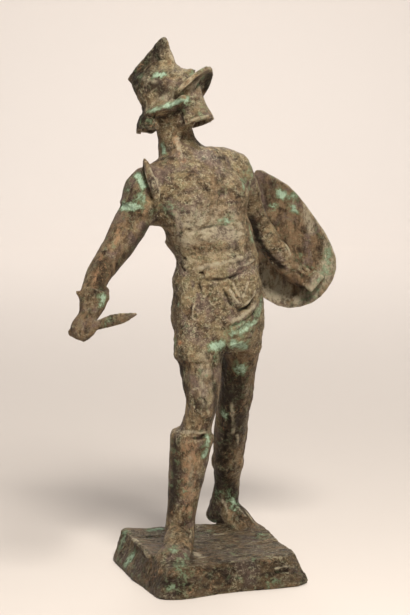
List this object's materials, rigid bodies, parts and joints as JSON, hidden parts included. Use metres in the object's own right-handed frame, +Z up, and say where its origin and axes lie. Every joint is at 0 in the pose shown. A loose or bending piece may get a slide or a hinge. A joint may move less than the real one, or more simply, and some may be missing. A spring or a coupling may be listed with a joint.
{
  "type": "gladiator statue",
  "caption": "Bronze statuette of a helmeted gladiator with a short sword and a raised shield, stepping forward on a rough slab base.",
  "frame": {"origin": "middle of the flat underside of the base", "axes": "+Z up, -Y towards the front edge of the base, +X to the viewer's right of that front"},
  "size_m": [0.287, 0.1748, 0.4967],
  "materials": {
    "bronze": "cast bronze with a dark brown patina, ochre highlights on the ridges and verdigris patches"
  },
  "bodies": {
    "root": {"gladiator_statue": "bronze"}
  },
  "joints": []
}
